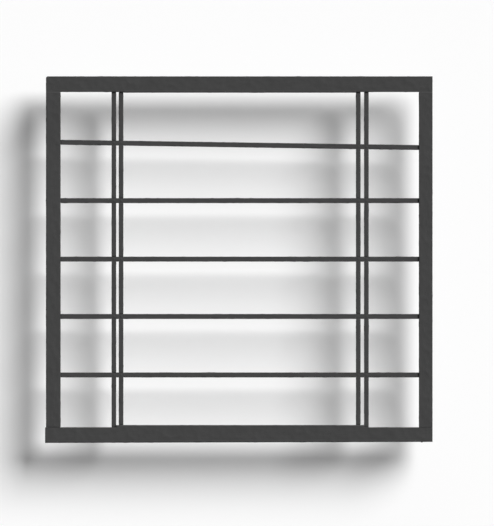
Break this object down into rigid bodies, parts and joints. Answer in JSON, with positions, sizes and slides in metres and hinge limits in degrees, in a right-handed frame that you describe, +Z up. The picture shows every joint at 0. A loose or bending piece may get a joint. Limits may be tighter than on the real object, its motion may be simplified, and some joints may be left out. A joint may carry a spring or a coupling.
{
  "type": "window grille",
  "caption": "Flat iron window grille: a rectangular frame of forged flat bars filled with half-lapped square cross bars and close-set uprights, fixed sideways into a window reveal.",
  "frame": {"origin": "middle of the overall width and depth, at the level of the frame's lowest corner", "axes": "+X to the right seen from outside, +Y through the window to the inside, +Z up"},
  "size_m": [1.0024, 0.02, 0.9484],
  "materials": {
    "painted_iron": "matt dark grey paint over forged iron"
  },
  "bodies": {
    "root": {"top_rail": "painted_iron", "bottom_rail": "painted_iron", "left_stile": "painted_iron", "right_stile": "painted_iron", "upright_left_outer": "painted_iron", "upright_left_inner": "painted_iron", "upright_right_inner": "painted_iron", "upright_right_outer": "painted_iron", "cross_bar_top": "painted_iron", "cross_bar_upper": "painted_iron", "cross_bar_middle": "painted_iron", "cross_bar_lower": "painted_iron", "cross_bar_bottom": "painted_iron"}
  },
  "joints": []
}
